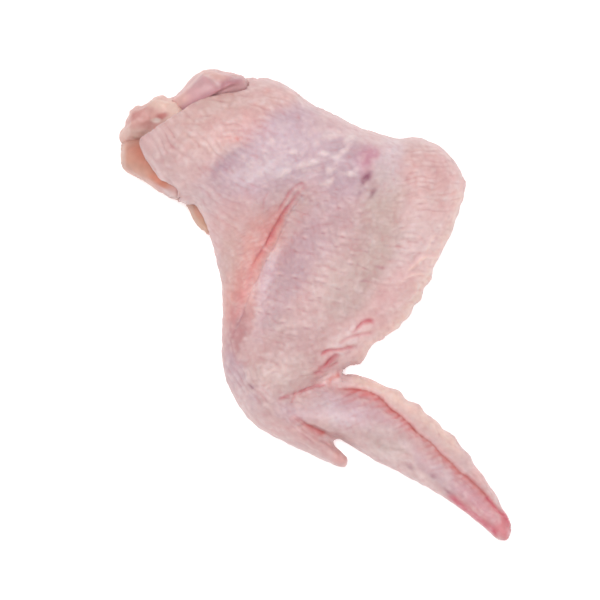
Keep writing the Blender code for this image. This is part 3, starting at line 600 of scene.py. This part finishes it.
def nearest_dot(plan, degrees, spacing_along, spacing_across, seed):
    """Offsets from the nearest dot of an uneven lattice, and that dot's own random number."""
    along, across = turned(plan, 0, 0, degrees)
    scaled = np.column_stack([along / spacing_along, across / spacing_across])
    cell = np.floor(scaled)
    best = np.full(len(plan), np.inf)
    offset = np.zeros((len(plan), 2))
    number = np.zeros(len(plan))
    for step in ((i, j) for i in (-1, 0, 1) for j in (-1, 0, 1)):
        other = cell + np.array(step)
        dot = np.column_stack([chance(other, seed), chance(other, seed + 1)]) * DOT_SPREAD + DOT_MARGIN
        gap = (scaled - other - dot) * np.array([spacing_along, spacing_across])
        away = np.hypot(gap[:, 0], gap[:, 1])
        closer = away < best
        best[closer] = away[closer]
        offset[closer] = gap[closer]
        number[closer] = chance(other, seed + 2)[closer]
    return offset, number


def painted(colours, tint, amount, which=slice(None)):
    """Moves the colours, or some of them, towards a tint by an amount for each point."""
    colours[which] += (linear(TINTS[tint]) - colours[which]) * np.clip(amount, 0, 1)[:, None]


def fold_relief(plan, colours):
    """Presses the folds in, with a raised lip on both sides, and tints them."""
    relief = np.zeros(len(plan))
    for path, depth, half_width, tint, strength, tint_width, tint_side in FOLDS:
        near, distance, side, share = measured(path, plan, FOLD_REACH * max(half_width, tint_width))
        ends = tapered(share) * varied(plan[near], *FOLD_UNEVENNESS)
        lip = bell(distance - LIP_PLACE * half_width, half_width)
        relief[near] += depth * ends * (LIP_HEIGHT * lip - bell(distance, half_width))
        on_side = side * tint_side >= 0
        painted(colours, tint, strength * ends * bell(distance, tint_width) * on_side, near)
    return relief


def fitted(places, outline, depth):
    """Moves a rim sideways until its outermost points lie on an outline, whose right side is inside."""
    corners = np.array(outline)
    ways = corners[1:] - corners[:-1]
    lengths = np.hypot(ways[:, 0], ways[:, 1])
    starts = np.append(0, np.cumsum(lengths))
    # The way out at each corner.
    across = np.column_stack([-ways[:, 1], ways[:, 0]]) / lengths[:, None]
    turns = np.vstack([across[:1], across[:-1] + across[1:], across[-1:]])
    turns /= np.linalg.norm(turns, axis=1)[:, None]
    # Where each point lies along the outline, and how far beyond it.
    near, distance, side, share = measured(outline, places[:, :2], RIM_REACH * depth, steps=1)
    close = distance < RIM_REACH * depth
    near, share, beyond = near[close], share[close], (distance * side)[close] - RIM_MARGIN
    index = np.minimum((share * len(ways)).astype(int), len(ways) - 1)
    part = (share * len(ways) - index)[:, None]
    travelled = starts[index] + part[:, 0] * lengths[index]
    # The outermost point in each cell along the outline, smoothed over about the depth.
    cell = (travelled / RIM_CELL).astype(int)
    edge = np.full(cell.max() + 3, -depth)
    np.maximum.at(edge, cell + 1, beyond)
    edge[0], edge[-1] = edge[1], edge[-2]
    limit = RIM_SHIFT * depth
    window = np.hanning(2 * int(depth / 2) + 3)
    edge = np.clip(np.convolve(edge, window / window.sum(), "same"), -limit, limit)[cell + 1]
    ends = eased(np.minimum(travelled, starts[-1] - travelled) / RIM_DEPTH)
    shift = -edge * ends * eased((beyond + depth) / (edge + depth))
    outward = turns[index] * (1 - part) + turns[index + 1] * part
    places[near, :2] += outward * shift[:, None]


def streak_relief(plan, colours):
    """Oblique red streaks from the band's fold into the hand, shorter towards the tip."""
    near, distance, side, share = measured(BAND_FOLD, plan, 2 * STREAK_REACH)
    along, across = turned(plan[near], 0, 0, STREAK_TURN)
    stretched = np.column_stack([along / STREAK_STRETCH, across])
    drift = STREAK_DRIFT * cloud(plan[near], 7.0, 61) + STREAK_DRIFT * cloud(stretched, 2.2, 62)
    streak = bell(np.sin(math.pi * (across / STREAK_SPACING + drift)), STREAK_WIDTH)
    streak *= varied(stretched, middle=0.8, spread=0.4, size=2.6, seed=64) * (1 - STREAK_FAINTER * share)
    reach = STREAK_REACH * (1 - STREAK_SHORTER * share)
    reach *= varied(stretched, middle=0.75, spread=0.35, size=1.8, seed=63)
    in_hand = (side < 0) * tapered(share)
    within = in_hand * np.exp(-((distance / reach) ** 3))
    pink = within * (WASH_PINK + STREAK_PINK * streak) * (1.25 - 0.5 * distance / reach)
    glow = in_hand * bell(distance, GLOW_WIDTH)
    painted(colours, "streak_pink", pink + GLOW_PINK * glow * (1 - GLOW_FAINTER * share), near)
    edge = in_hand * bell(distance, EDGE_WIDTH)
    painted(colours, "fold_red", edge * (EDGE_RED + EDGE_STREAK_RED * streak), near)
    relief = np.zeros(len(plan))
    relief[near] = -STREAK_DEPTH * within * streak
    return relief


def wrinkle_relief(plan):
    """Fine ragged creases between low ridges."""
    relief = np.zeros(len(plan))
    for seed, row in enumerate(WRINKLES):
        x, y, half_length, half_width, turn, angle, spacing, depth, bend, ragged = row
        weight = patch(plan, x, y, half_length, half_width, turn)
        along, across = turned(plan, x, y, angle)
        drift = np.zeros(len(plan))
        for size, amount, more in WRINKLE_DRIFTS:
            drift += cloud(plan, size * spacing, seed + more) * amount * spacing
        phase = (across + bend * along**2 + drift) / spacing
        crease = bell(np.sin(math.pi * phase), CREASE_WIDTH)
        stretched = np.column_stack([along / WRINKLE_STRETCH, phase])
        broken = eased(varied(stretched, 0.5, ragged, 1.0, seed + 80))
        relief += WRINKLE_SCALE * weight * depth * broken * (RIDGE_SHARE - crease)
    return relief


def follicle_relief(plan, colours):
    """Rows of pale bumps, each with a darker pit beside it, and the sharper bumps by the elbow with a
    painted white highlight.
    """
    relief = np.zeros(len(plan))
    for seed, row in enumerate(FOLLICLES):
        x, y, half_length, half_width, turn, angle, along, across = row[:8]
        height, radius, depth, pit, pale, dark = row[8:]
        weight = patch(plan, x, y, half_length, half_width, turn)
        offset, number = nearest_dot(plan, angle, along, across, 11 * seed)
        size = SMALLEST_BUMP + (1 - SMALLEST_BUMP) * number
        bump = bell(np.hypot(offset[:, 0] / BUMP_STRETCH, offset[:, 1]), radius) * size
        hollow = bell(offset[:, 0], pit) * bell(offset[:, 1] + PIT_PLACE * radius, PIT_WIDTH) * size
        relief += weight * (height * bump - depth * hollow)
        painted(colours, "pale", weight * pale * bump**PALE_POWER)
        painted(colours, "dash", weight * dark * hollow)
    for x, y in SHARP_BUMPS:
        along, across = turned(plan, x, y, SHARP_BUMP_TURN)
        bump = bell(np.hypot(along / SHARP_BUMP_STRETCH, across), SHARP_BUMP_RADIUS)
        relief += SHARP_BUMP_HEIGHT * bump
        # A white highlight painted on the top of each sharper bump.
        painted(colours, "white_highlight", SHARP_BUMP_PALE * bump**PALE_POWER)
    return relief


def pebbled(plan):
    """Small uneven cushions between the skin's finest creases."""
    offset, number = nearest_dot(plan, PEBBLE_TURN, PEBBLE_LENGTH, PEBBLE_WIDTH, 71)
    cushion = PEBBLE_ROUNDNESS - np.hypot(offset[:, 0], offset[:, 1]) ** 2
    return PEBBLE_HEIGHT * cushion * (0.5 + number)


def shaded(colours, relief):
    """Paints shade into the creases as a darker pink, and a pale highlight onto the ridges, by their
    relief.
    """
    painted(colours, "crease_pink", SHADE * np.clip(-relief / PINK_DEPTH, 0, 1) ** PINK_POWER)
    painted(colours, "pale", SHADE * np.clip(relief / PALE_HEIGHT, 0, 1))


def patched(plan, colours, rows):
    """Paints soft ovals with ragged edges."""
    ragged = plan + sideways(plan, 7.0, 5) * PATCH_RAGGED
    for tint, x, y, half_length, half_width, turn, strength in rows:
        painted(colours, tint, strength * patch(ragged, x, y, half_length, half_width, turn))


def marked(plan, colours):
    """Paints the single marks in the skin."""
    for tint, x, y, half_length, half_width, turn, strength in SKIN_MARKS:
        along, across = turned(plan, x, y, turn)
        painted(colours, tint, strength * bell(along, half_length) * bell(across, half_width))


def banded(plan, colours, rows):
    """Paints bands along paths."""
    for tint, path, half_width, strength in rows:
        near, distance, _, share = measured(path, plan, 3 * half_width)
        painted(colours, tint, strength * tapered(share) * bell(distance, half_width), near)


def mottled(places, colours, depth):
    """Uneven lightness and redness at three sizes."""
    for size, share, seed in MOTTLES:
        light = cloud(places, size, seed) * depth * share
        warm = cloud(places, size, seed + 7) * depth * share * REDNESS
        colours *= 1 + light[:, None] + warm[:, None] * np.array(REDNESS_TURN)


def facing_up(normals):
    """1 for a surface that faces up and 0 for one that is upright or faces down."""
    return eased((normals[:, 2] - UPRIGHT) / UP_RANGE)


def places_of(mesh):
    flat = np.empty(len(mesh.vertices) * 3, np.float32)
    mesh.vertices.foreach_get("co", flat)
    return flat.reshape(-1, 3).astype(float) / MM


def normals_of(mesh):
    flat = np.empty(len(mesh.vertices) * 3, np.float32)
    mesh.vertex_normals.foreach_get("vector", flat)
    return flat.reshape(-1, 3).astype(float)


def moved_to(mesh, places):
    """Moves a mesh's points, but none below the table."""
    places[:, 2] = np.maximum(places[:, 2], 0.0)
    mesh.vertices.foreach_set("co", (places * MM).astype(np.float32).ravel())
    mesh.update()


def coloured(mesh, colours):
    attribute = mesh.color_attributes.new("tint", "FLOAT_COLOR", "POINT")
    values = np.column_stack([np.clip(colours, 0, 1), np.ones(len(colours))])
    attribute.data.foreach_set("color", values.astype(np.float32).ravel())


def out_of_sight(mesh):
    """Which points of the skin face the table or the meat inside it."""
    places, normals = places_of(mesh), normals_of(mesh)
    meat = BVHTree.FromObject(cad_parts["drumette_meat"], bpy.context.evaluated_depsgraph_get())
    hidden = normals[:, 2] < FACING_DOWN
    for index in np.flatnonzero(~hidden):
        found = meat.find_nearest(Vector(places[index] * MM), MEAT_GAP * MM)[0]
        if found is not None:
            hidden[index] = (np.array(found) / MM - places[index]) @ normals[index] > 0
    return hidden


def modified(obj):
    """Puts what an object's modifiers make in place of its mesh."""
    graph = bpy.context.evaluated_depsgraph_get()
    obj.data = bpy.data.meshes.new_from_object(obj.evaluated_get(graph))
    obj.modifiers.clear()


def thinned(obj):
    """Leaves fewer triangles where the skin is out of sight."""
    unseen = out_of_sight(obj.data)
    hidden = obj.vertex_groups.new(name="hidden")
    for index in np.flatnonzero(unseen):
        hidden.add([int(index)], 1.0, "REPLACE")
    fewer = obj.modifiers.new("Fewer below", "DECIMATE")
    fewer.vertex_group = "hidden"
    fewer.ratio = 1 - unseen.mean() * (1 - HIDDEN_SHARE)
    modified(obj)
    obj.vertex_groups.clear()


def fine_copy(node, name, voxel, smoothing):
    """A finer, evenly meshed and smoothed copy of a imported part."""
    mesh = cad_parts[node].data.copy()
    mesh.materials.clear()
    obj = bpy.data.objects.new(name, mesh)
    bpy.context.scene.collection.objects.link(obj)
    remesh = obj.modifiers.new("Fine mesh", "REMESH")
    remesh.mode = "VOXEL"
    remesh.voxel_size = voxel * MM
    relax = obj.modifiers.new("Relax", "SMOOTH")
    relax.factor = 0.5
    relax.iterations = smoothing
    modified(obj)
    return obj


def noise_node(nodes, size, detail):
    made = nodes.new("ShaderNodeTexNoise")
    made.inputs["Scale"].default_value = 1 / (size * MM)
    made.inputs["Detail"].default_value = detail
    return made


def moist_material(name, mottle, grain, grain_depth, subsurface):
    """Wet flesh or skin: the painted tint, a fine mottle over it, a fine grain and a wet gloss."""
    made = bpy.data.materials.new(name)
    made.use_nodes = True
    nodes, links = made.node_tree.nodes, made.node_tree.links
    shader = nodes["Principled BSDF"]
    shader.inputs["Roughness"].default_value = ROUGHNESS
    shader.inputs["Coat Weight"].default_value = COAT
    shader.inputs["Coat Roughness"].default_value = COAT_ROUGHNESS
    shader.inputs["Subsurface Weight"].default_value = subsurface
    shader.inputs["Subsurface Radius"].default_value = (1.0, 0.45, 0.3)
    shader.inputs["Subsurface Scale"].default_value = SUBSURFACE_DEPTH * MM
    tint = nodes.new("ShaderNodeAttribute")
    tint.attribute_name = "tint"
    where = nodes.new("ShaderNodeTexCoord")
    patches = noise_node(nodes, MOTTLE_SIZE, 4.0)
    links.new(where.outputs["Object"], patches.inputs["Vector"])
    spread = nodes.new("ShaderNodeValToRGB")
    dark, light = spread.color_ramp.elements
    dark.position = 0.3
    dark.color = (1 - 0.6 * mottle, 1 - mottle, 1 - mottle, 1)
    light.position = 0.7
    light.color = (1, 1, 1, 1)
    links.new(patches.outputs["Fac"], spread.inputs["Fac"])
    mix = nodes.new("ShaderNodeMix")
    mix.data_type = "RGBA"
    mix.blend_type = "MULTIPLY"
    mix.inputs["Factor"].default_value = 1.0
    links.new(tint.outputs["Color"], mix.inputs["A"])
    links.new(spread.outputs["Color"], mix.inputs["B"])
    links.new(mix.outputs["Result"], shader.inputs["Base Color"])
    fine = noise_node(nodes, grain, 3.0)
    fine.inputs["Distortion"].default_value = 0.6
    links.new(where.outputs["Object"], fine.inputs["Vector"])
    bump = nodes.new("ShaderNodeBump")
    bump.inputs["Strength"].default_value = 0.6
    bump.inputs["Distance"].default_value = grain_depth * MM
    links.new(fine.outputs["Fac"], bump.inputs["Height"])
    links.new(bump.outputs["Normal"], shader.inputs["Normal"])
    return made


def dressed(obj, node, made_of):
    obj.data.materials.clear()
    obj.data.materials.append(made_of)
    obj.data.shade_smooth()
    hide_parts(node)
    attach(obj, "root")


def skin_material():
    return moist_material("Raw_skin", mottle=0.12, grain=0.45, grain_depth=0.12, subsurface=0.3)


def meat_material():
    return moist_material("Raw_meat", mottle=0.06, grain=0.7, grain_depth=0.06, subsurface=0.15)


def cartilage_material():
    return moist_material("Cartilage", mottle=0.06, grain=0.6, grain_depth=0.06, subsurface=0.15)


def wing_skin():
    """The skin, its relief and paint placed from above and fading on the walls."""
    obj = fine_copy("wing_skin", "wing_skin_dressed", voxel=0.46, smoothing=8)
    thinned(obj)
    places, normals = places_of(obj.data), normals_of(obj.data)
    upward = facing_up(normals)
    wander = WALL_WANDER - WANDER_LESS * upward
    plan = places[:, :2] + sideways(places, 4.0, 1) * wander[:, None]
    plain = linear(TINTS["skin"])
    colours = np.tile(plain, (len(plan), 1))
    patched(plan, colours, SKIN_PATCHES)
    banded(plan, colours, SKIN_BANDS)
    marked(plan, colours)
    broad = colours.copy()
    fine = wrinkle_relief(plan) + follicle_relief(plan, colours) + pebbled(plan)
    relief = fine + streak_relief(plan, colours) + fold_relief(plan, colours)
    colours = broad + (colours - broad) * upward[:, None]
    colours = plain + (colours - plain) * (WALL_PAINT + (1 - WALL_PAINT) * upward[:, None])
    everywhere = lumpy(places, SKIN_LUMPS)
    mottled(places, colours, SKIN_MOTTLE)
    # Painted pink shade in the creases and painted pale highlight on the ridges, from the relief.
    shaded(colours, fine * upward + everywhere)
    ragged = lumpy(places, WALL_LUMPS) * (1 - np.abs(normals[:, 2]))
    places += normals * (SKIN_SWELL + relief * upward + everywhere + ragged)[:, None]
    fitted(places, SKIN_OUTLINE, RIM_DEPTH)
    fitted(places, SKIN_CORNER, CORNER_DEPTH)
    fitted(places, SKIN_LIP, EDGE_DEPTH)
    moved_to(obj.data, places)
    coloured(obj.data, colours)
    dressed(obj, "wing_skin", skin_material())


def covered(plan, normals):
    """How far the meat has sunk under the skin's cut edge: 0 outside it and 1 well inside.

    The upper muscle's top sinks at once, and for a way deeper.
    """
    near, distance, side, share = measured(SKIN_EDGE, plan, EDGE_REACH)
    slowly = eased((distance - SINK_START) / SINK_RANGE)
    at_once = MUSCLE_SINK * eased(distance / SINK_START) * np.clip(normals[near, 2], 0, 1)
    sunk = np.where(share < UPPER_SHARE, np.maximum(at_once, slowly), slowly)
    amount = np.ones(len(plan))
    amount[near] = np.where(side > 0, sunk, 0)
    return amount


def swollen(places, normals, lumps):
    """Swells and lumps the meat or the bone where it is bared, and sinks it under the skin."""
    under = covered(places[:, :2], normals)[:, None]
    bared = np.maximum(1 - under, 0)
    places += normals * ((BARED_SWELL + lumps[:, None]) * bared - MEAT_SHRINK * under)


def grooved(plan, path, depth, half_width):
    """A smooth groove along a path."""
    near, distance, _, share = measured(path, plan, 3 * half_width)
    relief = np.zeros(len(plan))
    relief[near] = -depth * tapered(share) * bell(distance, half_width)
    return relief


def bared_meat():
    """The meat at the cut, with its fibres, lumps and the splits in its upper muscle."""
    obj = fine_copy("drumette_meat", "drumette_meat_dressed", voxel=0.45, smoothing=8)
    places, normals = places_of(obj.data), normals_of(obj.data)
    plan = places[:, :2]
    colours = np.tile(linear(TINTS["muscle"]), (len(plan), 1))
    patched(plan, colours, MEAT_PATCHES)
    banded(plan, colours, MEAT_BANDS)
    along, across = turned(plan, 0, 0, FIBRE_TURN)
    fibres = cloud(np.column_stack([along / FIBRE_STRETCH, across, places[:, 2]]), FIBRE_SIZE, 3)
    painted(colours, "muscle_light", WALL_LIGHT * (1 - facing_up(normals)))
    mottled(places, colours, MEAT_MOTTLE)
    colours *= 1 + FIBRE_TINT * fibres[:, None]
    lumps = FIBRE_HEIGHT * fibres + lumpy(places, MEAT_LUMPS)
    for path, depth, half_width in MUSCLE_GROOVES:
        lumps += grooved(plan, path, depth, half_width)
    swollen(places, normals, lumps)
    for outline in MEAT_OUTLINES:
        fitted(places, outline, RIM_DEPTH)
    moved_to(obj.data, places)
    coloured(obj.data, colours)
    dressed(obj, "drumette_meat", meat_material())


def bone_end():
    """The knobs of cartilage on the bone's end."""
    obj = fine_copy("humerus", "humerus_dressed", voxel=0.35, smoothing=4)
    places, normals = places_of(obj.data), normals_of(obj.data)
    colours = np.tile(linear(TINTS["knob"]), (len(places), 1))
    patched(places[:, :2], colours, BONE_PATCHES)
    mottled(places, colours, BONE_MOTTLE)
    swollen(places, normals, lumpy(places, BONE_LUMPS))
    fitted(places, BONE_OUTLINE, RIM_DEPTH)
    moved_to(obj.data, places)
    coloured(obj.data, colours)
    dressed(obj, "humerus", cartilage_material())


def table_top():
    """A white table that glows a little, so that no shadow greys it. Its size is in metres."""
    half = 1.5
    corners = [(-half, -half, 0), (half, -half, 0), (half, half, 0), (-half, half, 0)]
    mesh = bpy.data.meshes.new("table")
    mesh.from_pydata(corners, [], [(0, 1, 2, 3)])
    obj = bpy.data.objects.new("table", mesh)
    bpy.context.scene.collection.objects.link(obj)
    obj.location.z = -TABLE_GAP * MM
    made = bpy.data.materials.new("White_table")
    made.use_nodes = True
    shader = made.node_tree.nodes["Principled BSDF"]
    shader.inputs["Base Color"].default_value = (0.95, 0.95, 0.95, 1)
    shader.inputs["Roughness"].default_value = 0.9
    shader.inputs["Specular IOR Level"].default_value = 0.0
    shader.inputs["Emission Color"].default_value = (1, 1, 1, 1)
    shader.inputs["Emission Strength"].default_value = TABLE_GLOW
    mesh.materials.append(made)


def soft_light(name, place, size, watts):
    """A round light that points at the wing. Its place and size are in metres."""
    light = bpy.data.lights.new(name, "AREA")
    light.shape = "DISK"
    light.size = size
    light.energy = watts
    obj = bpy.data.objects.new(name, light)
    bpy.context.scene.collection.objects.link(obj)
    obj.location = place
    obj.rotation_euler = (-Vector(place)).to_track_quat("-Z", "Y").to_euler()


def studio():
    """Even white light from all round, with a key and a fill light above."""
    world = bpy.data.worlds.new("Studio")
    world.use_nodes = True
    background = world.node_tree.nodes["Background"]
    background.inputs["Color"].default_value = (1, 1, 1, 1)
    background.inputs["Strength"].default_value = 0.46
    bpy.context.scene.world = world
    soft_light("Key", (-0.18, 0.25, 0.95), size=0.5, watts=4.6)
    soft_light("Fill", (0.4, -0.3, 0.9), size=0.9, watts=3.2)
    bpy.context.scene.view_settings.view_transform = "Standard"


def camera():
    """A long lens looking straight down, with the photo's width of table at the wing's middle height."""
    data = bpy.data.cameras.new("Camera")
    data.sensor_width = SENSOR
    data.lens = SENSOR * (CAMERA_HEIGHT - MIDDLE_HEIGHT) / PHOTO_WIDTH
    data.clip_end = 10.0
    obj = bpy.data.objects.new("Camera", data)
    obj.location = (PHOTO_CENTRE[0] * MM, PHOTO_CENTRE[1] * MM, CAMERA_HEIGHT * MM)
    bpy.context.scene.collection.objects.link(obj)
    bpy.context.scene.camera = obj


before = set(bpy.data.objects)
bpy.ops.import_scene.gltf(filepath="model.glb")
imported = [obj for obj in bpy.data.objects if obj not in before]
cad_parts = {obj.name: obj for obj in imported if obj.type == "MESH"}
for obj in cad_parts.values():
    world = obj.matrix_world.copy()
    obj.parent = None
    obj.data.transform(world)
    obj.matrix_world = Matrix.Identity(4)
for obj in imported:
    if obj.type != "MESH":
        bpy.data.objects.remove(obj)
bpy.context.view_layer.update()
wing_skin()
bared_meat()
bone_end()
table_top()
studio()
camera()
